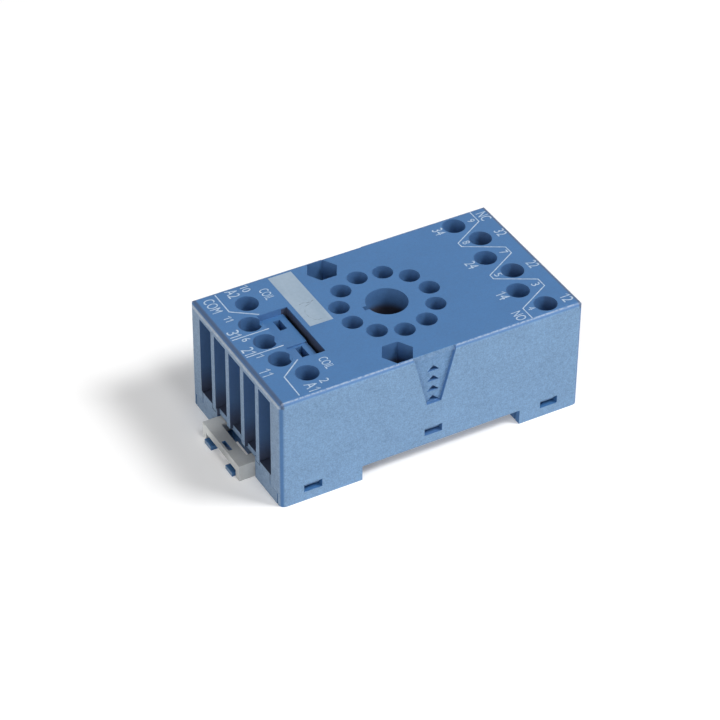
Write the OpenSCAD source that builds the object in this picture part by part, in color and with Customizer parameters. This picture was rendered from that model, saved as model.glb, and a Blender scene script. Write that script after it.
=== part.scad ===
// Eleven-pin relay socket for a 35 mm rail, with box-clamp screw terminals at both ends.
// The origin is on the axis of the pin circle, in the plane of the rail seat. +Z leaves
// the top face, and -X points to the end with the rail clip.

/* [Housing] */
// Length of the housing
body_l = 66.8; // [66:0.2:74]
// Width of the housing
body_w = 37.5; // [37:0.1:42]
// Height of the top face above the rail seat
top_z = 21.7; // [21:0.1:26]
// How far the feet reach below the rail seat
foot_drop = 3.4; // [2.8:0.1:4]
// Thickness of the long side walls at the feet
side_wall = 1.45; // [1.2:0.05:1.6]
// Radius along the top edges
edge_r = 1; // [0.4:0.1:1.4]
// Radius of the upright corners
corner_r = 1.2; // [0.8:0.1:2]

/* [Pin circle] */
// Diameter of the circle through the pin holes
pin_circle = 19.05; // [18.5:0.05:19.6]
// Number of pin holes
pin_count = 11; // [11]
// Diameter of a pin hole
pin_hole = 4.2; // [4:0.1:4.4]
// Diameter of the key hole in the middle
key_hole = 8.5; // [8:0.1:9]
// Width of the keyway
keyway_w = 1.2; // [0.8:0.1:1.6]
// How far the keyway reaches past the rim of the key hole
keyway_depth = 0.9; // [0.5:0.1:1.2]
// Height of the floor of the key hole above the rail seat
key_floor = 4.6; // [4.2:0.1:8]

/* [Terminals] */
// Distance between neighbouring terminals
pitch = 6.15; // [6.1:0.05:6.4]
// Distance of the outer screws from the middle
outer_x = 26.7; // [26.4:0.1:27]
// Distance of the inner screws from the middle
inner_x = 24.2; // [24:0.1:24.5]
// Diameter of a screw well
well = 4.7; // [4.5:0.1:4.8]
// Width of a terminal chamber and its end slot
chamber_w = 4.75; // [4.6:0.05:4.85]
// Distance from the top face down to the end slots
slot_drop = 2; // [1.6:0.1:3]
// Diameter of the lip that keeps a screw in its well
lip = 4; // [3.8:0.05:4.1]
// Height of that lip
lip_h = 0.6; // [0.4:0.1:1]

/* [Clamps] */
// Largest wire gap below the clamping tab
wire_gap = 3.6; // [3.2:0.1:3.8]
// Thread diameter of a clamp screw
screw_d = 2.9; // [2.8:0.05:3]
// Radial clearance of the screw in its cage
screw_clear = 0.05; // [0.02:0.01:0.09]
// Diameter of a screw head
head_d = 4.3; // [4.2:0.05:4.4]
// Height of a screw head
head_h = 1.7; // [1.4:0.1:1.9]
// Width of a clamp cage across the terminal
cage_w = 4.4; // [4.3:0.05:4.5]
// Length of a clamp cage along the wire
cage_l = 5.6; // [5:0.1:5.8]
// Side wall of a clamp cage
cage_wall = 0.7; // [0.5:0.05:0.75]
// Floor of a clamp cage
cage_floor = 0.9; // [0.7:0.1:1]
// Threaded top wall of a clamp cage
cage_top = 1.4; // [1.2:0.1:1.5]

/* [Contacts] */
// Thickness of the contact strips
strip_t = 0.8; // [0.6:0.1:0.9]
// Width of the contact strips
strip_w = 3; // [2.6:0.1:3.2]
// Width of the clamping tab and its riser
tab_w = 2.7; // [2.4:0.1:2.8]
// Height of the upper strips above the rail seat
upper_strip_z = 2.6; // [2.5:0.1:2.8]
// Height of the lower strips above the rail seat
lower_strip_z = 0.8; // [0.7:0.1:0.9]
// Outer diameter of a pin socket
socket_d = 3.6; // [3.3:0.1:3.8]
// Bore of a pin socket
socket_bore = 2.3; // [2.2:0.1:2.4]
// Depth of the pin sockets below the top face
socket_drop = 5; // [4:0.5:8]

/* [Base plate] */
// Thickness of the base plate over the rail
plate_t = 1.95; // [1.8:0.05:2.1]
// Width of the end wall between the housing's corner posts
end_wall_w = 28.6; // [27.6:0.1:29]
// Height of the step below the corner posts, above the feet
post_step = 2.7; // [2.2:0.1:2.9]
// Gap between the base plate and the housing
fit_gap = 0.06; // [0.02:0.01:0.15]
// Open joint between the feet and the housing's long walls
foot_gap = 0.3; // [0.15:0.05:0.4]
// Open joint on both sides of an end wall
wall_gap = 0.2; // [0.1:0.05:0.3]
// How far the housing's ribs reach down into the end walls
rib_seat = 1; // [0.6:0.1:1.2]
// Rail channel's end on the clip side
channel_x0 = -15.7; // [-16:0.1:-15.5]
// Rail channel's end on the hook side
channel_x1 = 19.75; // [19.5:0.05:20]
// Thickness of rail that the hooks take
rail_t = 1.2; // [1.1:0.1:1.6]
// Reach of the fixed rail hook
hook_reach = 1.2; // [0.8:0.1:1.6]

/* [Rail clip] */
// Width of the rail clip
clip_w = 15.6; // [15:0.1:16.4]
// How far the clip stands out of the end face
clip_out = 3.35; // [3:0.05:3.8]
// Length of the clip along the body in the outer bar
bar_l = 2.85; // [2.5:0.05:3.2]
// Width of each arm of the clip
arm_w = 2.5; // [2.2:0.1:2.8]
// Top of the clip above the rail seat
clip_top = 0.3; // [0.1:0.05:0.5]
// Thickness of the clip's frame
clip_t = 1.9; // [1.6:0.1:2]
// Reach of the clip's nose under the rail
nose_reach = 1.4; // [1:0.1:1.8]
// Sliding gap around the clip
clip_gap = 0.25; // [0.15:0.05:0.4]
// Outer diameter of the clip spring
spring_d = 2.2; // [1.8:0.1:2.4]
// Wire diameter of the clip spring
spring_wire = 0.35; // [0.3:0.05:0.45]
// Number of turns of the clip spring
spring_turns = 7; // [5:1:9]

/* [Top face details] */
// Distance of the panel screw wells from the middle, across the body
hex_y = 15; // [14.8:0.1:15.2]
// Place of the panel screw wells along the body
hex_x = -6.2; // [-6.6:0.1:-5.8]
// Width across the flats of the panel screw wells
hex_af = 5.9; // [5.6:0.1:6]
// Diameter of the panel screw holes
panel_hole = 3.4; // [3.2:0.1:3.6]
// Height of the floor of the panel screw wells above the rail seat
hex_floor = 6; // [5:0.5:12]
// Depth of the module recess
recess_drop = 1.5; // [1.2:0.1:1.8]
// Depth of the V recesses in the long sides
vee_depth = 0.7; // [0.5:0.1:0.7]

/* [Hidden] */
$fn = 48;
EPS = 0.01;

half_l = body_l / 2;
half_w = body_w / 2;
inner_w = half_w - side_wall;
plate_top = plate_t + fit_gap;

// Clamp heights, worked out upwards from the base plate.
cage_z0 = plate_t + 0.15;
tab_z0 = cage_z0 + cage_floor + wire_gap;
tab_z1 = tab_z0 + strip_t;
cage_z1 = tab_z1 + 0.1 + cage_top;
cage_lift = wire_gap - 0.2;
ceiling_z = cage_z1 + cage_lift + 0.15;
head_z0 = ceiling_z + 0.1;
head_z1 = head_z0 + head_h;
lip_z0 = head_z1 + 0.15;
slot_z1 = top_z - slot_drop;

// Places behind a clamp cage, measured inwards from the screw.
riser_gap = 0.45;
riser_back = cage_l / 2 + riser_gap + strip_t;
chamber_back = riser_back + 0.2;
tab_front = cage_l / 2 + 0.1;
well_block = cage_l / 2 + 0.45;

// Strip channels in the two mouldings.
strip_gap = 0.25;
full_corner = 0.06;
upper_channel_z = upper_strip_z + strip_t + 0.1;
socket_z1 = top_z - socket_drop;

// Snap windows and hooks.
window_w = 3.95;
window_h = 1.75;
end_window_x = 26.46;
end_window_z = -0.4;
mid_window_z = 2.95;
snap_w = 3.1;
snap_reach = 0.85;
snap_t = 1.1;

// Ribs between neighbouring end slots, and their seats in the end walls.
rib_w = pitch - chamber_w;
rib_l = 1.5;
rib_play = 0.15;
RIBS = [
    for (k = [-1.5 : 1.5]) [-1, k * pitch],
    for (k = [-2 : 2]) [1, k * pitch]
];

// Module recess.
recess_x0 = -24.4;
recess_x1 = -17.9;
recess_y0 = -8;
recess_y1 = 7.8;
recess_floor = top_z - recess_drop;
step_x0 = -23.2;
step_y = -2;
step_drop = 0.3;
collar_r = 2.75;
collar_h = 0.25;
slot_w = 0.85;
slot_depth = 7;
pocket_w = 1.5;
pocket_l = 3.2;
pocket_x = -20.9;
pocket_ys = [4.95, -4.1];
pocket_depth = 8;

// V recesses.
vee_top_w = 9.4;
vee_foot_w = 3.2;
vee_foot_z = 9.7;
notch_w = 2.7;
notch_h = 1.3;
notch_pitch = 2.43;
notch_count = 4;
notch_depth = 0.8;

// Rail clip.
clip_x0 = -half_l - clip_out;
bar_x1 = clip_x0 + bar_l;
clip_x1 = channel_x0 + nose_reach;
clip_z0 = clip_top - clip_t;
arm_y0 = clip_w / 2 - arm_w;
cheek_t = 1.5;
nose_l = 3.4;
guide_w = clip_w / 2 + clip_gap;
guide_top = clip_top + clip_gap;
tongue_y0 = 3.1;
tongue_w = 2.75;
tongue_t = 0.95;
tongue_out = clip_out + 0.6;
lug_x0 = -half_l + 1.4;
lug_l = 2.4;
lug_w = 8.6;
driver_slot = [0.75, 3.1];
driver_slot_at = [-half_l - 2.5, -1];
hook_w = 24;
relief = 0.25;
end_recess = 0.6;
spring_z = -0.85;

// Routes of the strips from a pin to its riser, as corners between the two.
// Each row: mark, pin number, end (-1 or 1), place across in pitches, screw is an outer
// one, strip is a lower one, corners.
TERMINALS = [
    ["a1", 2, -1, -2, false, false, [[-14, -2 * pitch]]],
    ["11", 1, -1, -1, true, false, [[-15, -pitch]]],
    ["21", 6, -1, 0, true, true, []],
    ["31", 11, -1, 1, true, false, [[-15, pitch]]],
    ["a2", 10, -1, 2, false, false, [[-14, 2 * pitch]]],
    ["12", 4, 1, -2.5, true, false, [[9, -2.5 * pitch]]],
    ["14", 3, 1, -1.5, false, true, [[2, -1.5 * pitch]]],
    ["22", 5, 1, -0.5, true, false, [[12, -0.5 * pitch]]],
    ["24", 7, 1, 0.5, false, false, [[12, 0.5 * pitch]]],
    ["32", 8, 1, 1.5, true, false, [[7, 1.5 * pitch]]],
    ["34", 9, 1, 2.5, false, false, [[5, 2.5 * pitch]]]
];

// Values of one terminal row.
function mark(t) = t[0];
function end_of(t) = t[2];
function screw_x(t) = t[2] * (t[4] ? outer_x : inner_x);
function screw_y(t) = t[3] * pitch;
function strip_z(t) = t[5] ? lower_strip_z : upper_strip_z;
function pin_angle(number) = 180 + (number - 0.5) * 360 / pin_count;
function pin_at(number) = pin_circle / 2 * [cos(pin_angle(number)), sin(pin_angle(number))];
function riser_x(t) = screw_x(t) - end_of(t) * (riser_back - strip_t / 2);
function route(t) = concat([pin_at(t[1])], t[6], [[riser_x(t), screw_y(t)]]);

// ---- Shared shapes ----

// A rectangle with round corners.
module round_rect(size, r) {
    square([size[0] - 2 * r, size[1]], center = true);
    square([size[0], size[1] - 2 * r], center = true);
    for (x = [-1, 1], y = [-1, 1])
        translate([x * (size[0] / 2 - r), y * (size[1] / 2 - r)]) circle(r);
}

// A cross-section of the body: width w, from z0 to the top, with its two top edges round.
module arch(w, z0) {
    translate([-w / 2, z0]) square([w, top_z - edge_r - z0]);
    translate([-w / 2 + edge_r, z0]) square([w - 2 * edge_r, top_z - z0]);
    for (x = [-1, 1])
        translate([x * (w / 2 - edge_r), top_z - edge_r]) circle(edge_r);
}

// A box given by its low and high corners.
module span(low, high) {
    translate(low) cube(high - low);
}

// A flat strip of width w that follows a line of points, with slightly full corners.
module strip_path(points, w) {
    for (i = [0 : len(points) - 2]) {
        step = points[i + 1] - points[i];
        translate(points[i])
            rotate(atan2(step[1], step[0]))
                translate([0, -w / 2]) square([norm(step), w]);
    }
    for (i = [0 : len(points) - 2]) translate(points[i]) circle(d = w + full_corner);
}

// Everything in a terminal is drawn at x = 0, y = 0 with the wire entering from -X, and
// is then set on its screw axis.
module at_terminal(t) {
    translate([screw_x(t), screw_y(t), 0])
        mirror([end_of(t) > 0 ? 1 : 0, 0, 0]) children();
}

// ---- Housing ----

// The rounded block that the housing is cut from.
module housing_block() {
    intersection() {
        translate([0, 0, -foot_drop])
            linear_extrude(top_z + foot_drop) round_rect([body_l, body_w], corner_r);
        translate([0, half_w + 1, 0]) rotate([90, 0, 0])
            linear_extrude(body_w + 2) arch(body_l, -foot_drop);
        translate([-half_l - 1, 0, 0]) rotate([90, 0, 90])
            linear_extrude(body_l + 2) arch(body_w, -foot_drop);
    }
}

// The room that one terminal takes in the housing.
module terminal_room(t) {
    x_end = -half_l - screw_x(t) * -end_of(t) - 1;
    at_terminal(t) {
        // end slot, full height in front of the well
        span([x_end, -chamber_w / 2, plate_t], [-well_block, chamber_w / 2, slot_z1]);
        // chamber for the cage, the tab and the riser
        span([x_end, -chamber_w / 2, plate_t], [chamber_back, chamber_w / 2, ceiling_z]);
        // head pocket, lip and well
        translate([0, 0, ceiling_z - EPS]) cylinder(d = well, h = lip_z0 - ceiling_z + EPS);
        translate([0, 0, lip_z0 - EPS]) cylinder(d = lip, h = lip_h + 2 * EPS);
        translate([0, 0, lip_z0 + lip_h]) cylinder(d = well, h = top_z);
    }
}

// The recess beside the middle wells of the clip end, with its slot and two pockets.
module module_recess() {
    difference() {
        span([recess_x0, recess_y0, recess_floor], [recess_x1, recess_y1, top_z + 1]);
        // low collars around the wells
        for (y = [-1, 0, 1])
            translate([-outer_x, y * pitch, recess_floor - 1])
                cylinder(r = collar_r, h = 1 + collar_h);
    }
    span([step_x0, recess_y0, recess_floor - step_drop],
         [recess_x1 - slot_w, step_y, recess_floor + EPS]);
    span([recess_x1 - slot_w, recess_y0, recess_floor - slot_depth],
         [recess_x1, recess_y1, recess_floor + EPS]);
    for (y = pocket_ys)
        translate([pocket_x, y, recess_floor - pocket_depth / 2])
            cube([pocket_w, pocket_l, pocket_depth + 1], center = true);
}

// One V recess, seen from -Y, with its column of triangular notches.
module vee_recess() {
    translate([0, -half_w + vee_depth, 0]) rotate([90, 0, 0])
        linear_extrude(vee_depth + 1)
            polygon([
                [-vee_foot_w / 2, vee_foot_z], [vee_foot_w / 2, vee_foot_z],
                [vee_top_w / 2, top_z], [vee_top_w / 2, top_z + 1],
                [-vee_top_w / 2, top_z + 1], [-vee_top_w / 2, top_z]
            ]);
    for (i = [0 : notch_count - 1])
        translate([0, -half_w + vee_depth + notch_depth, vee_foot_z + 0.1 + i * notch_pitch])
            rotate([90, 0, 0])
                linear_extrude(notch_depth + EPS)
                    polygon([[-notch_w / 2, 0], [notch_w / 2, 0], [0, notch_h]]);
}

// A window through the side wall that faces -Y.
module snap_window(x, z) {
    span([x - window_w / 2, -half_w - 1, z - window_h / 2],
         [x + window_w / 2, -inner_w + EPS, z + window_h / 2]);
}

// Everything cut along one long side, which faces -Y.
module side_details() {
    vee_recess();
    snap_window(0, mid_window_z);
    for (x = [-1, 1]) snap_window(x * end_window_x, end_window_z);
    // room for the snap arm behind the middle window
    span([-window_w / 2, -inner_w, plate_t - 1],
         [window_w / 2, -inner_w + snap_t + 2 * fit_gap, mid_window_z + window_h / 2]);
}

// The space below, where the base plate sits.
module plate_room() {
    post_x = half_l - 2.6;
    span([-post_x, -inner_w, -foot_drop - 1], [post_x, inner_w, plate_top]);
    span([-half_l - 1, -end_wall_w / 2, -foot_drop - 1],
         [half_l + 1, end_wall_w / 2, plate_top]);
    span([-half_l - 1, -inner_w, -foot_drop - 1],
         [half_l + 1, inner_w, post_step - foot_drop]);
    span([channel_x0, -half_w - 1, -foot_drop - 1], [channel_x1, half_w + 1, 0]);
}

// The foot of one rib, or with play around it the seat that it goes in.
module rib_foot(rib, play) {
    mirror([rib[0] > 0 ? 1 : 0, 0, 0])
        span([-half_l - (play > 0 ? 1 : 0), rib[1] - rib_w / 2 - play, plate_top - rib_seat - play],
             [-half_l + rib_l + play, rib[1] + rib_w / 2 + play, plate_top + EPS + play]);
}

// One hexagonal well with its panel screw hole.
module panel_screw_well() {
    translate([0, 0, hex_floor]) cylinder(d = hex_af / cos(30), h = top_z, $fn = 6);
    translate([0, 0, -EPS]) cylinder(d = panel_hole, h = top_z);
}

module housing() {
    color("steelblue") difference() {
        housing_block();
        difference() {
            plate_room();
            for (rib = RIBS) rib_foot(rib, 0);
        }
        for (t = TERMINALS) terminal_room(t);
        // pin holes, and the channels that hold the upper strips
        for (n = [1 : pin_count])
            translate([pin_at(n)[0], pin_at(n)[1], plate_t - 1])
                cylinder(d = pin_hole, h = top_z);
        for (t = TERMINALS) if (!t[5])
            translate([0, 0, plate_t - 1])
                linear_extrude(upper_channel_z - plate_t + 1)
                    strip_path(route(t), strip_w + 2 * strip_gap);
        // key hole and keyway
        translate([0, 0, key_floor]) cylinder(d = key_hole, h = top_z);
        span([-key_hole / 2 - keyway_depth, -keyway_w / 2, key_floor],
             [0, keyway_w / 2, top_z + 1]);
        module_recess();
        for (y = [-1, 1]) translate([hex_x, y * hex_y, 0]) panel_screw_well();
        side_details();
        mirror([0, 1, 0]) side_details();
    }
}

// ---- Base plate ----

// A snap hook that points to -Y, with its catching edge on top.
module snap_hook(x, z) {
    translate([x - snap_w / 2, 0, 0]) rotate([90, 0, 90])
        linear_extrude(snap_w)
            polygon([
                [-inner_w + foot_gap + EPS, z + window_h / 2 - 0.1],
                [-inner_w - snap_reach, z + window_h / 2 - 0.25],
                [-inner_w - snap_reach, z],
                [-inner_w + foot_gap + EPS, z - window_h / 2 + 0.1]
            ]);
}

// The three snap hooks of one long side, which faces -Y.
module side_snaps() {
    for (x = [-1, 1]) snap_hook(x * end_window_x, end_window_z);
    snap_hook(0, mid_window_z);
    span([-snap_w / 2, -inner_w + fit_gap, plate_t - EPS],
         [snap_w / 2, -inner_w + fit_gap + snap_t, mid_window_z + window_h / 2 - 0.1]);
}

// The plate, its end walls and its two feet, before anything is cut.
module plate_block() {
    w = inner_w - fit_gap;
    foot_w = inner_w - foot_gap;
    wall_w = end_wall_w / 2 - wall_gap;
    post_x = half_l - 2.6 - fit_gap;
    span([-post_x, -w, 0], [post_x, w, plate_t]);
    for (x = [[-half_l, channel_x0], [channel_x1, half_l]]) {
        span([x[0], -wall_w, -foot_drop], [x[1], wall_w, plate_t]);
        span([x[0], -foot_w, -foot_drop], [x[1], foot_w, post_step - foot_drop - fit_gap]);
    }
    for (x = [[-post_x, channel_x0], [channel_x1, post_x]])
        span([x[0], -foot_w, -foot_drop], [x[1], foot_w, EPS]);
}

// The fixed hook that holds the far edge of the rail.
module rail_hook() {
    translate([0, hook_w / 2, 0]) rotate([90, 0, 0])
        linear_extrude(hook_w)
            polygon([
                [channel_x1 + EPS, -rail_t], [channel_x1 - hook_reach, -rail_t - 0.1],
                [channel_x1 - hook_reach, -rail_t - 0.5], [channel_x1 - 0.3, -foot_drop],
                [channel_x1 + EPS, -foot_drop]
            ]);
}

// The way that the rail clip slides in.
module clip_way() {
    span([-half_l - 1, -guide_w, -foot_drop - 1], [channel_x0 + EPS, guide_w, guide_top]);
    span([-half_l - 1, -guide_w, -foot_drop - 1],
         [-half_l + end_recess, guide_w, plate_t + 1]);
}

// Shallow grooves in the seat at both edges of the rail, clear of the hooks.
module rail_reliefs() {
    for (x = [[channel_x0, nose_reach + 0.2], [channel_x1 - hook_reach - 0.2, hook_reach + 0.2]])
        span([x[0], -half_w, -EPS], [x[0] + x[1], half_w, relief]);
}

// Moulded hollows below the feet.
module foot_hollows() {
    hollow_z1 = plate_t - 1.2;
    // beside the clip
    for (y = [-1, 1], x = [0, 1])
        translate([-half_l + 6.1 + x * 7.4, y * (guide_w + inner_w) / 2, 0])
            span([-2.9, -3.2, -foot_drop - 1], [2.9, 3.2, -0.9]);
    // below the hook end
    for (y = [-2 : 2])
        span([channel_x1 + 2.4, y * pitch - 2.4, -foot_drop - 1],
             [half_l - 1.6, y * pitch + 2.4, hollow_z1 - 0.4]);
}

module base_plate() {
    color("steelblue") {
        difference() {
            plate_block();
            clip_way();
            rail_reliefs();
            foot_hollows();
            for (rib = RIBS) rib_foot(rib, rib_play);
            // channels for the two lower strips
            for (t = TERMINALS) if (t[5])
                translate([0, 0, lower_strip_z - 0.05])
                    linear_extrude(plate_t) {
                        strip_path(route(t), strip_w + 2 * strip_gap);
                        translate(pin_at(t[1])) circle(d = pin_hole);
                        translate([riser_x(t), screw_y(t)])
                            square([strip_t + 0.5, strip_w + 2 * strip_gap], center = true);
                    }
            for (y = [-1, 1])
                translate([hex_x, y * hex_y, -1]) cylinder(d = panel_hole, h = plate_t + 2);
        }
        side_snaps();
        mirror([0, 1, 0]) side_snaps();
        rail_hook();
        // guide tongues below the clip
        for (y = [-1, 1])
            translate([0, y * (tongue_y0 + tongue_w / 2), 0])
                span([-half_l - tongue_out, -tongue_w / 2, -foot_drop],
                     [channel_x0, tongue_w / 2, -foot_drop + tongue_t]);
        // lug that carries the tongues and the end of the spring
        span([lug_x0, -lug_w / 2, -foot_drop + tongue_t - EPS],
             [lug_x0 + lug_l, lug_w / 2, guide_top + EPS]);
    }
}

// ---- Rail clip ----

module rail_clip() {
    color("gainsboro") difference() {
        union() {
            // flat frame
            span([clip_x0, -clip_w / 2, clip_z0], [channel_x0, clip_w / 2, clip_top]);
            // cheeks down to the foot plane
            for (y = [-1, 1])
                translate([0, y * (clip_w - cheek_t) / 2, 0])
                    span([clip_x0, -cheek_t / 2, -foot_drop + 0.05],
                         [clip_x0 + 9, cheek_t / 2, clip_z0 + EPS]);
            // nose that holds the rail from below
            translate([0, arm_y0, 0]) rotate([90, 0, 0])
                linear_extrude(2 * arm_y0)
                    polygon([
                        [channel_x0 - nose_l, clip_z0 + EPS], [channel_x0 - EPS, clip_z0 + EPS],
                        [channel_x0, -rail_t], [clip_x1, -rail_t - 0.1],
                        [clip_x1, -rail_t - 0.5], [channel_x0, -foot_drop + tongue_t + 0.1],
                        [channel_x0 - nose_l, -foot_drop + tongue_t + 0.1]
                    ]);
        }
        // window between the arms
        span([bar_x1, -arm_y0, -foot_drop - 1], [channel_x0 - nose_l, arm_y0, clip_top + 1]);
        // room over the rail's edge
        span([channel_x0 - 0.6, -clip_w, -rail_t], [channel_x0 + 1, clip_w, clip_top + 1]);
        // slot for a screwdriver
        translate([driver_slot_at[0], driver_slot_at[1], 0])
            cube([driver_slot[0], driver_slot[1], 4 * foot_drop], center = true);
    }
}

// ---- Clip spring ----

// Points of a ring of the spring's wire, at angle a along the helix.
function wire_ring(a, length) = [
    for (k = [0 : 5])
        let (r = (spring_d - spring_wire) / 2 + spring_wire / 2 * cos(60 * k))
        [spring_wire / 2 * sin(60 * k) + length * a / (360 * spring_turns),
         r * cos(a), r * sin(a)]
];

module clip_spring() {
    x0 = lug_x0 + lug_l + spring_wire / 2 + 0.02;
    x1 = channel_x0 - nose_l - spring_wire / 2 - 0.02;
    rings = spring_turns * 12;
    points = [
        for (i = [0 : rings]) each wire_ring(i * 360 * spring_turns / rings, x1 - x0)
    ];
    sides = [
        for (i = [0 : rings - 1], k = [0 : 5])
            [6 * i + k, 6 * i + (k + 1) % 6, 6 * i + 6 + (k + 1) % 6, 6 * i + 6 + k]
    ];
    caps = [[for (k = [5 : -1 : 0]) k], [for (k = [0 : 5]) 6 * rings + k]];
    color("silver") translate([x0, 0, spring_z]) polyhedron(points, concat(sides, caps));
}

// ---- Contacts, cages and screws ----

module contact(t) {
    z0 = strip_z(t);
    pin = pin_at(t[1]);
    color("goldenrod") {
        difference() {
            union() {
                translate([0, 0, z0]) linear_extrude(strip_t) strip_path(route(t), strip_w);
                translate([pin[0], pin[1], z0])
                    cylinder(d = socket_d, h = socket_z1 - z0);
            }
            // pin bore, and the slit on both sides that makes it spring
            translate([pin[0], pin[1], z0 + strip_t + 1])
                cylinder(d = socket_bore, h = top_z);
            translate([pin[0], pin[1], z0 + strip_t + 4 + top_z / 2])
                rotate(pin_angle(t[1])) cube([0.45, 2 * socket_d, top_z], center = true);
        }
        at_terminal(t) {
            span([riser_back - strip_t, -tab_w / 2, z0], [riser_back, tab_w / 2, tab_z1]);
            span([-tab_front, -tab_w / 2, tab_z0], [riser_back, tab_w / 2, tab_z1]);
        }
    }
}

module clamp_cage(t) {
    h = cage_z1 - cage_z0;
    inner_h = h - cage_floor - cage_top;
    color("lightsteelblue") at_terminal(t) difference() {
        translate([-cage_l / 2, 0, cage_z0 + h / 2]) rotate([90, 0, 90])
            linear_extrude(cage_l) round_rect([cage_w, h], 0.5);
        // wire opening
        translate([-cage_l / 2 - 1, 0, cage_z0 + cage_floor + inner_h / 2]) rotate([90, 0, 90])
            linear_extrude(cage_l + 2) round_rect([cage_w - 2 * cage_wall, inner_h], 0.25);
        // threaded hole
        translate([0, 0, cage_z1 - cage_top - 1])
            cylinder(r = screw_d / 2 + screw_clear, h = cage_top + 2);
        // grip grooves across the floor
        for (i = [-1 : 1])
            translate([i * 1.2, 0, cage_z0 + cage_floor])
                rotate([0, 45, 0]) cube([0.35, cage_w - 2 * cage_wall, 0.35], center = true);
    }
}

module clamp_screw(t) {
    r = screw_d / 2;
    color("silver") at_terminal(t) difference() {
        rotate_extrude() polygon([
            [0, tab_z1 + 0.02], [r - 0.5, tab_z1 + 0.02], [r, tab_z1 + 0.5],
            [r, head_z0], [head_d / 2, head_z0], [head_d / 2, head_z1 - 0.35],
            [head_d / 2 - 0.35, head_z1], [0, head_z1]
        ]);
        // slot and cross for the screwdriver
        translate([0, 0, head_z1]) cube([0.8, 2 * head_d, 1.4], center = true);
        translate([0, 0, head_z1]) cube([2.6, 0.8, 2], center = true);
    }
}

housing();
base_plate();
rail_clip();
clip_spring();
for (t = TERMINALS) {
    contact(t);
    clamp_cage(t);
    clamp_screw(t);
}
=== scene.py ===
"""Looks of an eleven-pin relay socket for a 35 mm rail: moulded blue housing and base
plate, off-white rail clip, brass contacts, plated clamps, and the print on the top face."""
import math

import bpy
import numpy as np
from mathutils import Matrix, Vector


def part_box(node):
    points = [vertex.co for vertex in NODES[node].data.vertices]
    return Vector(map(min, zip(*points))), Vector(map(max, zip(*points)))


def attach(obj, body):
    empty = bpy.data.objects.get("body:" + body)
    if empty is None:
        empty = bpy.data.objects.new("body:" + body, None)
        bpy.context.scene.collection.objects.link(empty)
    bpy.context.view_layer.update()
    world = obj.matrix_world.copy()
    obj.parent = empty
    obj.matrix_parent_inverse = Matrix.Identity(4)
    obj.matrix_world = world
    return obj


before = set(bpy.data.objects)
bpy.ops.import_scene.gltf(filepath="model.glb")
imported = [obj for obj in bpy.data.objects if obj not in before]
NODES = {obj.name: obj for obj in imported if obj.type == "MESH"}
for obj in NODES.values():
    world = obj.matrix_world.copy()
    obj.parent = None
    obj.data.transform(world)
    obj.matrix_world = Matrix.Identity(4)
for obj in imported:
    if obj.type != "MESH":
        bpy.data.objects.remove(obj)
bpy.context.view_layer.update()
SCENE = bpy.context.scene
MM = 0.001

# Heights and reach of the mouldings, from the frame itself. Sizes on the socket are in
# millimetres, and those of the floor, the lamps and the camera's place in metres.
HOUSING_LOW, HOUSING_HIGH = (np.array(c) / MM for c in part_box("housing"))
FOOT_Z = HOUSING_LOW[2]
TOP_Z = HOUSING_HIGH[2]
HALF_L = HOUSING_HIGH[0]
HALF_W = HOUSING_HIGH[1]
INK_Z = TOP_Z + 0.012
PENCIL_Z = INK_Z + 0.003

# Figure ones: width of the stem, and how far the flag's tip stands off it.
ONE_WIDTH = 0.20
ONE_FLAG = 0.62

# Widths of the printed lines and of the pencil's strokes.
CONTACT_WIDTH = 0.22
COIL_WIDTH = 0.25
SEPARATOR_WIDTH = 0.24
HOOK_WIDTH = 0.11
CURVE_WIDTH = 0.06

# Threads of the clamp screws: how far from the screw's tip and from the top of its head they
# end, radius of the core, pitch, height of the crest, how deep the feet are sunk, points to a
# turn, and the angle in radians over which the crest fades in and out.
THREAD_FROM_TIP = 0.7
THREAD_FROM_TOP = 1.95
THREAD_RADIUS = 1.45
THREAD_PITCH = 0.5
THREAD_HEIGHT = 0.045
THREAD_SUNK = 0.06
THREAD_POINTS = 20
THREAD_FADE = 2.0

# Scale of the mouldings' grain, which the ink on them shares.
GRAIN_SCALE = 1300.0


# ---- Shader maths ----

class Wire:
    """A number in a shader: wraps an output socket, and arithmetic on it adds Math nodes."""

    def __init__(self, tree, socket):
        self.tree = tree
        self.socket = socket

    def maths(self, operation, *values):
        node = self.tree.node("ShaderNodeMath", {"operation": operation},
                              dict(enumerate(values)))
        return Wire(self.tree, node.outputs[0])

    def __add__(self, other):
        return self.maths("ADD", self, other)

    __radd__ = __add__

    def __sub__(self, other):
        return self.maths("SUBTRACT", self, other)

    def __rsub__(self, other):
        return self.maths("SUBTRACT", other, self)

    def __mul__(self, other):
        return self.maths("MULTIPLY", self, other)

    __rmul__ = __mul__

    def __abs__(self):
        return self.maths("ABSOLUTE", self)

    def __or__(self, other):
        """The larger of two masks."""
        return self.maths("MAXIMUM", self, other)

    __ror__ = __or__

    def ramp(self, low, high, start=0.0, end=1.0):
        """A soft step: start below low, end above high, and smooth between them."""
        node = self.tree.node("ShaderNodeMapRange", {"interpolation_type": "SMOOTHSTEP"},
                              {0: self, 1: low, 2: high, 3: start, 4: end})
        return Wire(self.tree, node.outputs[0])

    def within(self, low, high, soft):
        """1 between low and high, and 0 outside them, with soft borders."""
        return self.ramp(low - soft, low + soft) * (1 - self.ramp(high - soft, high + soft))

    def outer(self, face, skin):
        """1 near a face and 0 further in. The skin is how far in from the face this starts,
        and how far in it is full."""
        return self.ramp(face - skin[0], face - skin[1])

    def inner(self, face, skin):
        """0 near a face and 1 further in, across the same kind of skin."""
        return self.ramp(face - skin[0], face - skin[1], 1.0, 0.0)


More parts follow.
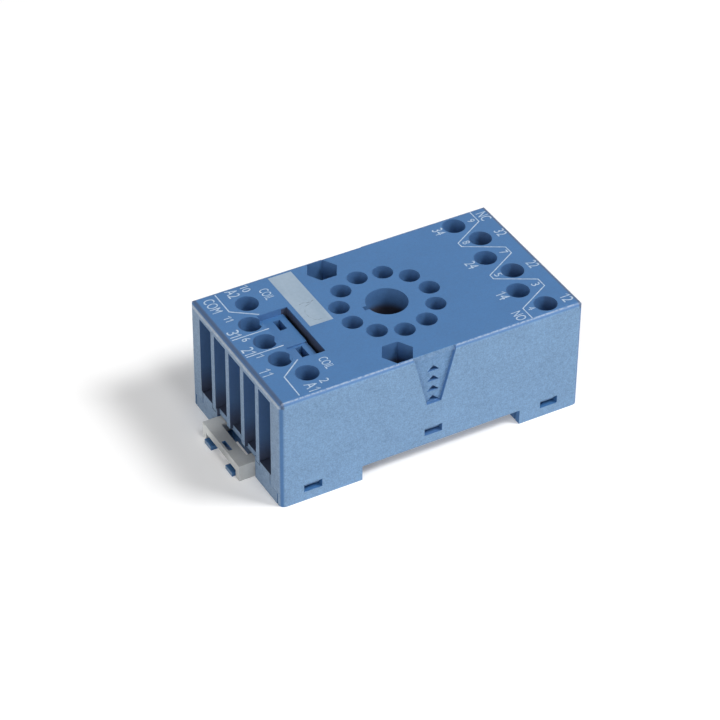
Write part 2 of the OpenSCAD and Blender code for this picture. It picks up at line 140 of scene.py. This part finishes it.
class Tree:
    """The node tree of a material or of the sky. All its nodes come from one method."""

    def __init__(self, owner):
        owner.use_nodes = True
        self.tree = owner.node_tree
        self.tree.nodes.clear()

    def node(self, kind, settings, sockets):
        """Adds a node: its settings first, then its sockets' values or links."""
        node = self.tree.nodes.new(kind)
        for name, value in settings.items():
            setattr(node, name, value)
        for key, value in sockets.items():
            self.feed(node.inputs[key], value)
        return node

    def feed(self, socket, value):
        """Links a Wire or an output to a socket, or sets the socket's own value."""
        if isinstance(value, Wire):
            value = value.socket
        if isinstance(value, bpy.types.NodeSocket):
            self.tree.links.new(value, socket)
        else:
            socket.default_value = value

    def shows_background(self):
        """1 for rays from the camera and for those that a shiny or clear surface sends on."""
        ray = self.node("ShaderNodeLightPath", {}, {})
        camera, glossy, clear = (Wire(self, ray.outputs[name]) for name in (
            "Is Camera Ray", "Is Glossy Ray", "Is Transmission Ray"))
        return camera | glossy | clear


class Finish(Tree):
    """A material of one surface, whose colour, roughness and relief may vary."""

    def __init__(self, name, metallic=0.0):
        self.material = bpy.data.materials.new(name)
        super().__init__(self.material)
        self.surface = self.node("ShaderNodeBsdfPrincipled", {}, {"Metallic": metallic})
        self.node("ShaderNodeOutputMaterial", {}, {"Surface": self.surface.outputs[0]})
        self.place = self.node("ShaderNodeTexCoord", {}, {})

    def axes(self, output="Object", scale=1.0):
        """The three parts of a Texture Coordinate output, each times scale."""
        node = self.node("ShaderNodeSeparateXYZ", {}, {0: self.place.outputs[output]})
        return [Wire(self, node.outputs[i]) * scale for i in range(3)]

    def noise(self, scale, detail, roughness, stretch=(1, 1, 1)):
        """Noise on the Object coordinates in metres, each axis first times its stretch."""
        place = self.node("ShaderNodeMapping", {}, {
            "Vector": self.place.outputs["Object"], "Scale": stretch})
        node = self.node("ShaderNodeTexNoise", {}, {
            "Vector": place.outputs[0], "Scale": scale, "Detail": detail,
            "Roughness": roughness})
        return Wire(self, node.outputs[0])

    def grain(self, scale=GRAIN_SCALE):
        """The grain of a moulded surface, or of what is printed or drawn on it."""
        return self.noise(scale, 3.0, 0.62)

    def mix(self, factor, first, second):
        """The colour that is first at factor 0 and second at factor 1. A Mix node has its
        colours at sockets 6 and 7, and the mixed one at output 2."""
        node = self.node("ShaderNodeMix", {"data_type": "RGBA"}, {0: factor, 6: first, 7: second})
        return node.outputs[2]

    def shade(self, colour, factor):
        """A colour times a number that varies. The number's socket is 3."""
        node = self.node("ShaderNodeVectorMath", {"operation": "SCALE"}, {0: colour, 3: factor})
        return node.outputs[0]

    def coat(self, colour, roughness):
        self.feed(self.surface.inputs["Base Color"], colour)
        self.feed(self.surface.inputs["Roughness"], roughness)

    def bump(self, height, distance, strength):
        """Relief from a height that varies between 0 and 1. The distance is in metres."""
        node = self.node("ShaderNodeBump", {}, {
            "Height": height, "Distance": distance, "Strength": strength})
        self.feed(self.surface.inputs["Normal"], node.outputs[0])


def rgba(red, green, blue):
    return (red, green, blue, 1.0)


# ---- Finishes ----

DEEP_BLUE = rgba(0.046, 0.150, 0.345)
# painted sheen: the paler, greyer blues of the long sides and of the ends
SIDE_SHEEN_BLUE = rgba(0.158, 0.280, 0.450)
END_SHEEN_BLUE = rgba(0.215, 0.305, 0.425)
# painted bounce light and painted shade: a paler blue for the walls inside, and a dark grey for
# shade
INNER_BOUNCE_BLUE = rgba(0.066, 0.165, 0.365)
PAINTED_SHADE = rgba(0.045, 0.045, 0.066)
# a pale grey for painted highlights on the top's rounded edges
RIM_HIGHLIGHT_GREY = rgba(0.400, 0.470, 0.560)
CLIP_WHITE = rgba(0.59, 0.605, 0.595)
# a grey for painted shade in the middle of the clip
CLIP_SHADE_GREY = rgba(0.30, 0.315, 0.325)
CLEAN_BRASS = rgba(0.78, 0.58, 0.27)
DULL_BRASS = rgba(0.58, 0.42, 0.20)
ZINC_SHADE = rgba(0.42, 0.44, 0.47)
THIN_INK = rgba(0.30, 0.43, 0.60)
FULL_INK = rgba(0.50, 0.60, 0.72)
BAR_GREY = rgba(0.31, 0.40, 0.50)
RUBBED_GREY = rgba(0.26, 0.35, 0.45)
LEAD_DARK = rgba(0.10, 0.12, 0.15)
LEAD_PALE = rgba(0.27, 0.34, 0.42)

# How far a face has to be turned outwards to take the look of a side or end, and of the top.
TURNED = (0.80, 0.98)
TURNED_UP = (0.4, 0.9)
# Skins of the mouldings: how far in from the side, end or top a look starts, and is full.
SIDE_SKIN = (0.80, 0.72)
END_SKIN = (1.2, 0.5)
TOP_SKIN = (2.2, 1.6)
CORNER_SKIN = (1.4, 0.8)
RECESS_SKIN = (0.35, 0.25)
WELLS_FROM_END = (6.5, 5.5)
WELLS_FROM_SIDE = (2.0, 1.2)
WELLS_FROM_TOP = (5.0, 3.0)
SLOTS_FROM_END = (6.0, 5.5)
SLOTS_FROM_SIDE = (2.0, 1.5)
# Heights over which the underside's look ends, and over which the painted shade in the slots
# grows lighter.
UNDERSIDE_Z = (0.1, 0.4)
SLOTS_Z = (1.5, 9.0)
# The narrow groove along the module recess, painted dark as shade: its two walls, and where it
# ends.
GROOVE_X = (-19.15, -17.86)
GROOVE_END = (8.0, 8.1)
# Middle of the driver slot in the rail clip, and half its reach along X and along Y.
CLIP_SLOT_X, CLIP_SLOT_Y = -HALF_L - 2.5, -1.0
CLIP_SLOT_HALF = (0.40, 1.57)


def moulded_blue(name, tone):
    """Blue polyamide: satin on top, with a fine spark-eroded grain and faint flow clouds. The
    long sides and ends are painted paler as sheen on their grain, the top's rounded edges carry
    painted highlights and painted shade, and the hidden walls are painted a paler blue as bounce
    light that turns to painted shade with depth."""
    blue = Finish(name)
    x, y, z = blue.axes(scale=1 / MM)
    nx, ny, nz = blue.axes("Normal")
    endwards, sidewards = abs(x), abs(y)
    along_side = abs(ny).ramp(*TURNED) * sidewards.outer(HALF_W, SIDE_SKIN)
    along_end = abs(nx).ramp(*TURNED) * endwards.outer(HALF_L, END_SKIN)
    rough = along_side | along_end
    on_top = nz.ramp(*TURNED_UP) * z.outer(TOP_Z, TOP_SKIN)
    corner = endwards.outer(HALF_L, CORNER_SKIN) * sidewards.outer(HALF_W, CORNER_SKIN)
    outside = rough | on_top | corner | z.ramp(*UNDERSIDE_Z, 1.0, 0.0)

    fine = blue.noise(3400.0, 3.0, 0.6)
    grain = blue.grain()
    clouds = blue.noise(150.0, 2.0, 0.5)
    flow = blue.noise(70.0, 3.0, 0.6, stretch=(0.35, 1, 1.6))

    # the walls inside: a little paler blue than the top as painted bounce light, and darker with
    # depth in the wells, in the slots and in the groove as painted shade
    in_wells = endwards.inner(HALF_L, WELLS_FROM_END) * sidewards.inner(HALF_W, WELLS_FROM_SIDE)
    in_slots = endwards.outer(HALF_L, SLOTS_FROM_END) * sidewards.inner(HALF_W, SLOTS_FROM_SIDE)
    in_groove = x.within(*GROOVE_X, 0.04) * sidewards.ramp(*GROOVE_END, 1.0, 0.0)
    shade_by_depth = (in_wells * z.inner(TOP_Z, WELLS_FROM_TOP)
             | in_groove * z.ramp(TOP_Z - 0.40, TOP_Z - 0.12, 0.85, 0.0)
             | in_slots * z.ramp(*SLOTS_Z, 0.85, 0.25))
    colour = blue.mix(outside, blue.mix(shade_by_depth, INNER_BOUNCE_BLUE, PAINTED_SHADE), DEEP_BLUE)
    # painted sheen: the long sides and ends are painted paler over their grain, less so further
    # into recesses
    recessed = 0.30 * sidewards.inner(HALF_W, RECESS_SKIN)
    colour = blue.mix(along_side * (0.72 - recessed + 0.55 * grain), colour, SIDE_SHEEN_BLUE)
    colour = blue.mix(along_end * (0.62 + 0.5 * grain), colour, END_SHEEN_BLUE)

    # the top's rounded edges: a broken pale line along the long sides as a painted highlight, and
    # at
    #     the ends a smooth band of painted shade above a pale painted highlight
    high = z.ramp(TOP_Z - 1.3, TOP_Z - 1.0)
    long_edge_highlight = sidewards.within(HALF_W - 0.66, HALF_W - 0.40, 0.08) * high
    end_shade_band = endwards.within(HALF_L - 0.95, HALF_L - 0.30, 0.2) * high
    end_pale_highlight = endwards.ramp(HALF_L - 0.22, HALF_L - 0.08)
    end_pale_highlight = end_pale_highlight * z.within(TOP_Z - 1.25, TOP_Z - 0.55, 0.15)
    colour = blue.mix(long_edge_highlight * (0.1 + 0.4 * grain.ramp(0.38, 0.58)), colour, RIM_HIGHLIGHT_GREY)
    colour = blue.mix(end_shade_band * 0.6, colour, PAINTED_SHADE)
    colour = blue.mix(end_pale_highlight * 0.8, colour, RIM_HIGHLIGHT_GREY)

    speck = (0.22 + 0.06 * rough) * (grain - 0.5) + (0.28 + 0.72 * rough) * (fine - 0.5)
    tint = tone * (1.0 + speck + 0.16 * (clouds - 0.5))
    blue.coat(blue.shade(colour, tint), 0.40 + 0.12 * rough + 0.16 * grain + 0.06 * flow)
    relief = (0.6 + 0.9 * rough) * (grain * 0.7 + fine * 0.3) + 0.25 * flow
    blue.bump(relief, distance=0.00003, strength=0.7)
    return blue.material


def clip_plastic():
    """Off-white polyamide with a soft grain. Its middle is painted greyer as shade and its far
    end paler as painted light, and the walls of its driver slot are painted the base plate's blue
    as shade."""
    white = Finish("clip_plastic")
    x, y, z = white.axes(scale=1 / MM)
    grain = white.noise(1500.0, 3.0, 0.6)
    clouds = white.noise(260.0, 2.0, 0.5)
    # painted shade: greyer in the middle
    middle = abs(y).ramp(1.0, 5.5, 0.55, 0.0)
    colour = white.mix(middle + 0.3 * clouds, CLIP_WHITE, CLIP_SHADE_GREY)
    in_slot = x.within(CLIP_SLOT_X - CLIP_SLOT_HALF[0], CLIP_SLOT_X + CLIP_SLOT_HALF[0], 0.02)
    in_slot = in_slot * y.within(CLIP_SLOT_Y - CLIP_SLOT_HALF[1],
                                 CLIP_SLOT_Y + CLIP_SLOT_HALF[1], 0.02)
    # painted shade: the driver slot's walls in the base plate's blue
    colour = white.mix(in_slot, colour, DEEP_BLUE)
    # painted light: paler towards the far end
    white.coat(white.shade(colour, 0.9 + 0.18 * grain + 0.42 * y.ramp(2.5, 7.0)),
               0.34 + 0.22 * grain)
    white.bump(grain, distance=0.00003, strength=0.5)
    return white.material


def stamped_brass():
    """Rolled brass strip: fine lines along the strip and a few duller patches."""
    brass = Finish("stamped_brass", metallic=1.0)
    lines = brass.noise(900.0, 3.0, 0.6, stretch=(0.15, 1, 1))
    patches = brass.noise(320.0, 2.0, 0.5)
    colour = brass.mix(patches.ramp(0.35, 0.7), CLEAN_BRASS, DULL_BRASS)
    brass.coat(brass.shade(colour, 0.85 + 0.25 * lines), 0.24 + 0.2 * lines + 0.12 * patches)
    brass.bump(lines, distance=0.00001, strength=0.4)
    return brass.material


def zinc_plate(name, colour, lines_along):
    """Zinc plating on steel: a cloudy grey-white with fine tool lines."""
    zinc = Finish(name, metallic=1.0)
    lines = zinc.noise(1100.0, 3.0, 0.6, stretch=lines_along)
    spangle = zinc.noise(700.0, 2.0, 0.5)
    colour = zinc.mix(spangle, colour, ZINC_SHADE)
    zinc.coat(zinc.shade(colour, 0.9 + 0.2 * lines), 0.22 + 0.22 * spangle + 0.1 * lines)
    zinc.bump(lines, distance=0.00001, strength=0.4)
    return zinc.material


def print_ink():
    """Pale ink on the top face, thin enough for the grain below to break it up a little."""
    ink = Finish("print_ink")
    grain = ink.grain()
    ink.coat(ink.mix(grain.ramp(0.30, 0.70), THIN_INK, FULL_INK), 0.42 + 0.2 * grain)
    return ink.material


def marking_ink():
    """The writable bar: a chalky grey field with duller rubbed patches."""
    field = Finish("marking_ink")
    grain = field.grain()
    rubs = field.noise(240.0, 3.0, 0.6, stretch=(1, 0.3, 1))
    colour = field.mix(rubs.ramp(0.35, 0.75), BAR_GREY, RUBBED_GREY)
    field.coat(field.shade(colour, 0.9 + 0.2 * grain), 0.6 + 0.15 * grain)
    field.bump(grain, distance=0.00002, strength=0.4)
    return field.material


def pencil():
    """Soft grey pencil, which skips over the grain of the bar."""
    lead = Finish("pencil")
    grain = lead.grain(1600.0)
    lead.coat(lead.mix(grain.ramp(0.4, 0.62), LEAD_DARK, LEAD_PALE), 0.6 + 0.2 * grain)
    return lead.material


# ---- Surfaces ----

def piece(name, points, faces, finish, body, slot):
    """A mesh piece from points in mm and faces, riding on a body."""
    mesh = bpy.data.meshes.new(name)
    mesh.from_pydata((np.asarray(points, float) * MM).tolist(), [],
                     [list(map(int, f)) for f in faces])
    mesh.update()
    mesh.materials.append(finish)
    made = bpy.data.objects.new(name, mesh)
    SCENE.collection.objects.link(made)
    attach(made, body)


def grid_faces(rows, columns):
    """Quads of a grid of points stored row by row. Seen from the side that they face, the
    way from row to row turns left into the way from column to column."""
    corner = np.arange(rows - 1)[:, None] * columns + np.arange(columns - 1)
    quads = np.stack([corner, corner + columns, corner + columns + 1, corner + 1], -1)
    return quads.reshape(-1, 4)


def stroke(corners, width, z=INK_Z):
    """A flat ribbon along a line of corners. Each corner's two edge points lie on the line
    that halves the bend, half a width off each side of both its straight runs."""
    line = np.asarray(corners, float)
    step = np.diff(line, axis=0)
    step /= np.linalg.norm(step, axis=1)[:, None]
    side = np.stack([-step[:, 1], step[:, 0]], 1)
    before = np.vstack([side[:1], side])
    after = np.vstack([side, side[-1:]])
    middle = before + after
    middle *= width / (middle * after).sum(1)[:, None] / 2
    points = np.empty((len(line), 2, 3))
    points[:, 0, :2] = line - middle
    points[:, 1, :2] = line + middle
    points[:, :, 2] = z
    return points.reshape(-1, 3), grid_faces(len(line), 2)


def label(words, x_range, y_range):
    """Letters whose feet point to -X and that read towards -Y, scaled to fill a box of the
    top face. A letter's right becomes -Y and its up becomes +X."""
    font = bpy.data.curves.new("label", "FONT")
    font.body = words
    font.resolution_u = 4
    letters = bpy.data.objects.new("label", font)
    SCENE.collection.objects.link(letters)
    bpy.context.view_layer.update()
    mesh = bpy.data.meshes.new_from_object(
        letters.evaluated_get(bpy.context.evaluated_depsgraph_get()))
    flat = np.empty(len(mesh.vertices) * 3)
    mesh.vertices.foreach_get("co", flat)
    flat = flat.reshape(-1, 3)[:, :2]
    faces = [list(p.vertices) for p in mesh.polygons]
    bpy.data.objects.remove(letters)
    bpy.data.meshes.remove(mesh)
    low, high = flat.min(0), flat.max(0)
    part = (flat - low) / (high - low)
    x = x_range[0] + part[:, 1] * (x_range[1] - x_range[0])
    y = y_range[0] + part[:, 0] * (y_range[1] - y_range[0])
    points = np.stack([x, y, np.full(len(x), INK_Z)], 1)
    return points, faces


def figure_ones(x_range, y_stems):
    """Figure ones with their feet towards -X. Each is a stem with a thinner flag, which
    comes down from the head of the stem to 0.72 of its height."""
    foot, head = x_range
    flag_tip = foot + 0.72 * (head - foot)
    shapes = []
    for y in y_stems:
        shapes.append(stroke([(foot, y), (head, y)], ONE_WIDTH))
        shapes.append(stroke([(head - ONE_WIDTH / 2, y), (flag_tip, y + ONE_FLAG)],
                             ONE_WIDTH * 0.8))
    return shapes


def joined(shapes):
    """Several (points, faces) as one, with the later faces counted on."""
    points, faces, count = [], [], 0
    for p, f in shapes:
        points.append(p)
        faces += [[int(i) + count for i in face] for face in f]
        count += len(p)
    return np.vstack(points), faces


def thread(axis_x, axis_y, z_low, z_high, radius, pitch, height):
    """A thread's crest: a ridge of triangular section on a helix about an upright axis. Its
    angle grows by a full turn for each pitch of height. The crest stands a height above the
    radius and sinks to it at both ends, and the ridge's two feet lie a third of a pitch
    below and above the crest, just inside the radius."""
    turns = (z_high - z_low) / pitch
    angle = np.linspace(0, 2 * np.pi * turns, int(THREAD_POINTS * turns))[:, None]
    rise = z_low + angle / (2 * np.pi) * pitch
    crest = radius + height * np.clip(np.minimum(angle, angle[-1] - angle) / THREAD_FADE, 0, 1)
    foot = np.full_like(angle, radius - THREAD_SUNK)
    out = np.hstack([foot, crest, foot])
    up = np.array([[-0.33, 0.0, 0.33]]) * pitch
    points = np.stack([axis_x + out * np.cos(angle), axis_y + out * np.sin(angle), rise + up], -1)
    return points.reshape(-1, 3), grid_faces(len(angle), 3)


# ---- The socket's finishes on its nodes ----

FINISHES = {
    "housing": moulded_blue("housing_blue", 1.0),
    "base_plate": moulded_blue("base_blue", 0.96),
    "rail_clip": clip_plastic(),
    "clip_spring": zinc_plate("spring_wire", rgba(0.55, 0.56, 0.58), (1, 0.2, 0.2)),
    "contact": stamped_brass(),
    "clamp_cage": zinc_plate("cage_zinc", rgba(0.62, 0.63, 0.65), (0.2, 1, 1)),
    "clamp_screw": zinc_plate("screw_zinc", rgba(0.72, 0.73, 0.75), (1, 1, 0.3)),
}
for name, node in NODES.items():
    finish = next(FINISHES[k] for k in FINISHES if name.startswith(k))
    if not node.material_slots:
        node.data.materials.append(finish)
    for slot in node.material_slots:
        slot.material = finish

# ---- Print on the top face ----

# Words, how far they reach along the body, and from where to where across it.
LABELS = [
    ("34", (19.4, 21.75), (16.15, 14.1)), ("NC", (30.1, 32.45), (16.85, 14.1)),
    ("32", (30.2, 32.45), (10.05, 8.0)), ("24", (19.4, 21.7), (3.4, 1.25)),
    ("22", (30.2, 32.5), (-2.1, -4.2)), ("4", (19.5, 21.8), (-9.15, -10.4)),
    ("NO", (19.0, 21.2), (-14.95, -17.7)), ("2", (30.1, 32.45), (-15.75, -16.9)),
    ("9", (27.4, 29.0), (15.75, 14.9)), ("8", (22.7, 24.3), (9.8, 8.9)),
    ("7", (27.5, 29.25), (3.45, 2.55)), ("5", (22.7, 24.3), (-2.5, -3.4)),
    ("3", (27.4, 29.2), (-8.7, -9.55)), ("4", (22.7, 24.2), (-14.95, -15.85)),
    ("COM", (-31.6, -29.3), (17.0, 12.4)), ("A2", (-26.45, -24.0), (17.7, 15.2)),
    ("0", (-23.2, -21.4), (16.75, 15.75)), ("COIL", (-20.4, -18.4), (15.0, 11.45)),
    ("3", (-32.1, -29.6), (5.9, 4.75)), ("6", (-30.5, -28.7), (2.7, 1.8)),
    ("2", (-32.1, -29.6), (-0.2, -1.35)), ("COIL", (-20.5, -18.6), (-9.5, -13.1)),
    ("2", (-23.4, -21.5), (-15.35, -16.35)), ("A", (-26.6, -24.1), (-15.2, -16.75)),
]

# Figure ones: how far they reach along the body, and where each stands across it.
ONES = [
    ((19.5, 21.8), (-8.7,)), ((30.1, 32.45), (-15.25,)), ((-23.2, -21.4), (17.2,)),
    ((-30.5, -28.8), (9.85, 8.95)), ((-32.1, -29.6), (4.0,)), ((-32.1, -29.6), (-2.1,)),
    ((-30.5, -28.8), (-3.75,)), ((-32.2, -29.8), (-8.2, -9.5)), ((-26.6, -24.1), (-17.5,)),
]

CONTACT_LINE = [
    (29.47, 17.9), (29.47, 14.36), (21.97, 9.92), (21.97, 8.58), (29.6, 4.28), (29.6, 2.05),
    (21.97, -2.36), (21.97, -3.7), (29.6, -7.94), (29.6, -10.36), (21.97, -14.67), (21.97, -18.2),
]
COMMON_LINE = [(-28.44, 17.7), (-28.44, 11.58), (-23.72, 8.1)]
COIL_LINE = [(-23.86, -7.86), (-28.6, -11.4), (-28.7, -17.6)]
SEPARATORS = [[(-32.1, y), (-24.15, y)] for y in (3.25, -2.72)]

marks = joined([label(*row) for row in LABELS]
               + [one for row in ONES for one in figure_ones(*row)])
lines = joined([stroke(CONTACT_LINE, CONTACT_WIDTH)]
               + [stroke(line, COIL_WIDTH) for line in (COMMON_LINE, COIL_LINE)]
               + [stroke(line, SEPARATOR_WIDTH) for line in SEPARATORS])
INK = print_ink()
piece("top_print_marks", *marks, INK, "socket", "clip_white")
piece("top_print_lines", *lines, INK, "socket", "clip_white")

# The marking bar lies across the top face, between the middle and the far edge.
BAR_X = -14.35
BAR_Y = (0.05, 17.55)
BAR_WIDTH = 5.1
bar = stroke([(BAR_X, y) for y in BAR_Y], BAR_WIDTH)
piece("marking_bar", *bar, marking_ink(), "socket", "clip_white")

# Faint pencil strokes on the bar: a hook and a long thin curve.
HOOK = [[(-15.55, 7.05), (-14.8, 7.3), (-14.2, 7.22), (-13.75, 6.9), (-13.3, 6.98)],
        [(-14.76, 6.11), (-13.45, 6.49), (-13.13, 6.87), (-12.4, 7.21)]]
CURVE = [(-15.14, 5.4), (-15.74, 4.27), (-15.67, 2.78), (-15.04, 1.53), (-14.36, 1.16),
         (-13.87, 1.25), (-13.12, 1.02)]
scribble = joined([stroke(line, HOOK_WIDTH, PENCIL_Z) for line in HOOK]
                  + [stroke(CURVE, CURVE_WIDTH, PENCIL_Z)])
piece("bar_scribble", *scribble, pencil(), "socket", "clip_white")

# ---- Threads of the clamp screws ----

for name in sorted(n for n in NODES if n.startswith("clamp_screw_")):
    low, high = (np.array(c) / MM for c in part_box(name))
    centre = (low + high) / 2
    ending = name.removeprefix("clamp_screw_")
    ridge = thread(centre[0], centre[1], low[2] + THREAD_FROM_TIP, high[2] - THREAD_FROM_TOP,
                   THREAD_RADIUS, THREAD_PITCH, THREAD_HEIGHT)
    piece(f"screw_thread_{ending}", *ridge, FINISHES["clamp_screw"], f"screw_{ending}",
          "screw_steel")

# ---- Floor, light and camera ----

FLOOR_HALF = 3.0
FLOOR_WHITE = rgba(0.84, 0.84, 0.84)
# what the floor adds to its own light where the camera sees it
FLOOR_GLOW = 0.21
SKY_COLOUR = rgba(0.98, 0.955, 0.94)
# the sky's level at the horizon and overhead, and the sine of the height where the second
# is reached
SKY_LOW = 0.44
SKY_HIGH = 0.13
SKY_HIGH_FROM = 0.9
LAMP_DISTANCE = 2.0


def floor():
    """A pale plane that the socket stands on: white to the camera, with the soft shadow."""
    reach, z = FLOOR_HALF, FOOT_Z * MM
    mesh = bpy.data.meshes.new("floor")
    mesh.from_pydata([(-reach, -reach, z), (reach, -reach, z), (reach, reach, z),
                      (-reach, reach, z)], [], [(0, 1, 2, 3)])
    made = bpy.data.objects.new("floor", mesh)
    SCENE.collection.objects.link(made)
    material = bpy.data.materials.new("floor_white")
    white = Tree(material)
    matt = white.node("ShaderNodeBsdfDiffuse", {}, {"Color": FLOOR_WHITE})
    glow = white.node("ShaderNodeEmission", {}, {
        "Strength": white.shows_background() * FLOOR_GLOW})
    both = white.node("ShaderNodeAddShader", {}, {0: matt.outputs[0], 1: glow.outputs[0]})
    white.node("ShaderNodeOutputMaterial", {}, {"Surface": both.outputs[0]})
    mesh.materials.append(material)


def sky():
    """A soft light from all round, brighter low down than overhead, seen as white."""
    world = bpy.data.worlds.new("studio")
    SCENE.world = world
    studio = Tree(world)
    place = studio.node("ShaderNodeTexCoord", {}, {})
    split = studio.node("ShaderNodeSeparateXYZ", {}, {0: place.outputs["Generated"]})
    level = studio.node("ShaderNodeMapRange", {}, {
        0: split.outputs[2], 1: 0.0, 2: SKY_HIGH_FROM, 3: SKY_LOW, 4: SKY_HIGH})
    light = studio.node("ShaderNodeBackground", {}, {
        "Color": SKY_COLOUR, "Strength": level.outputs[0]})
    white = studio.node("ShaderNodeBackground", {}, {"Color": rgba(1, 1, 1), "Strength": 1.0})
    seen = studio.node("ShaderNodeMixShader", {}, {
        0: studio.shows_background(), 1: light.outputs[0], 2: white.outputs[0]})
    studio.node("ShaderNodeOutputWorld", {}, {"Surface": seen.outputs[0]})


def softbox(name, towards, size, level):
    """A soft white lamp in a direction. Its level is what it adds to a white surface that
    faces it, where 1 is white, so its power follows from the distance."""
    place = Vector(towards).normalized() * LAMP_DISTANCE
    lamp = bpy.data.lights.new(name, "AREA")
    lamp.shape = "RECTANGLE"
    lamp.size, lamp.size_y = size
    lamp.energy = level * (math.pi * LAMP_DISTANCE) ** 2
    made = bpy.data.objects.new(name, lamp)
    SCENE.collection.objects.link(made)
    made.location = place
    made.rotation_euler = (-place).to_track_quat("-Z", "Y").to_euler()


floor()
sky()
softbox("key_right", (0.49, -0.41, 0.77), (0.60, 0.60), 0.79)
softbox("key_front", (0.05, -0.52, 0.85), (0.30, 0.60), 0.18)
softbox("fill_left", (-0.80, -0.45, 0.32), (1.0, 1.0), 0.34)

# The view: where the eye is, and which ways are right and up as it looks. The sensor and the
# focal length are in millimetres, as Blender has them.
EYE = (-0.228651, -0.394497, 0.364623)
RIGHT = (0.87331277, -0.48711348, 0.00672815)
UP = (0.29594962, 0.54145716, 0.78691675)
SENSOR_WIDTH = 36.0
FOCAL_LENGTH = 146.876
NEAREST = 0.01

lens = bpy.data.cameras.new("camera")
lens.sensor_width = SENSOR_WIDTH
lens.lens = FOCAL_LENGTH
lens.clip_start = NEAREST
camera = bpy.data.objects.new("camera", lens)
SCENE.collection.objects.link(camera)
turn = np.stack([RIGHT, UP, np.cross(RIGHT, UP)], 1)
camera.matrix_world = Matrix.Translation(EYE) @ Matrix(turn.tolist()).to_4x4()
SCENE.camera = camera

SCENE.view_settings.view_transform = "Standard"
